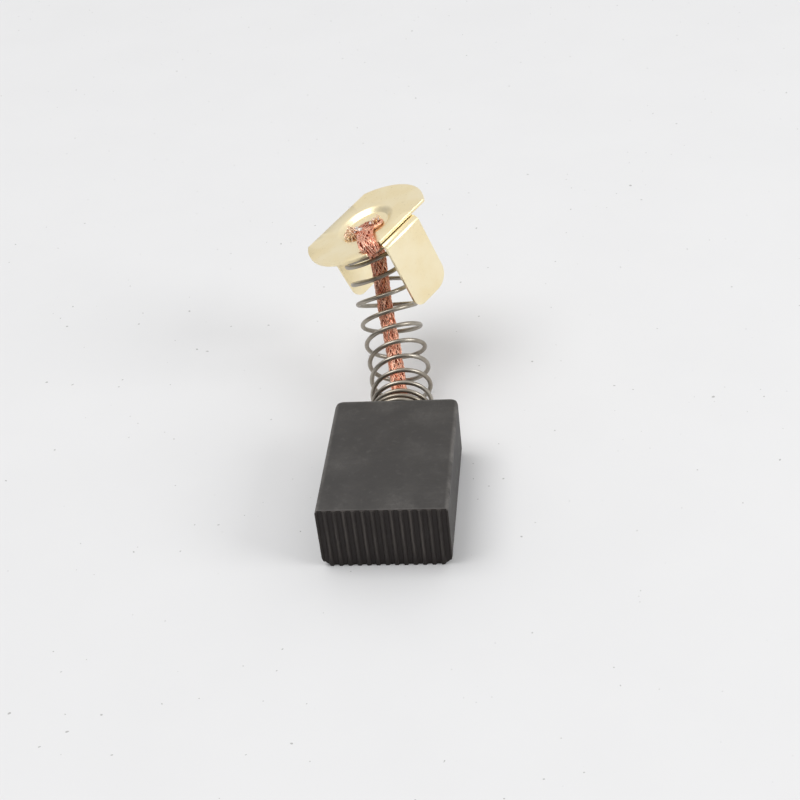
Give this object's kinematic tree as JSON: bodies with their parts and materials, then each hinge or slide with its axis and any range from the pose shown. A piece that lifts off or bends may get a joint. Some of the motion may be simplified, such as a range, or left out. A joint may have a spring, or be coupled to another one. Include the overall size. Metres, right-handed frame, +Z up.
{
  "type": "carbon brush",
  "caption": "Ribbed carbon block with a bowed coil spring, a braided copper lead through it and a folded brass terminal cap.",
  "frame": {"origin": "centre of the carbon block's wide rest face", "axes": "+X across the ribbed contact face, +Y from the contact face along the block towards the spring and cap, +Z up from the rest face"},
  "size_m": [0.0174, 0.0441, 0.0203],
  "materials": {
    "carbon": "matt pressed carbon, fine grain, light rub marks",
    "tamped_powder": "matt pressed copper and graphite powder",
    "spring_wire": "drawn steel wire, satin",
    "copper": "plaited fine copper wires, bright",
    "brass_sheet": "pressed pale brass sheet, satin to bright",
    "solder": "dull silver solder"
  },
  "bodies": {
    "block": {"carbon_block": "carbon", "tamping_plug": "tamped_powder", "coil_spring": "spring_wire"},
    "cap": {"terminal_cap": "brass_sheet", "copper_braid": "copper", "solder_spots": "solder"}
  },
  "joints": [
    {"name": "cap_slide", "type": "slide", "parent": "block", "child": "cap", "axis": [0.1745, -0.7852, -0.5941], "range_m": [0, 0.01], "stiffness_N_per_m": 190, "deforming": ["coil_spring", "copper_braid"]}
  ]
}
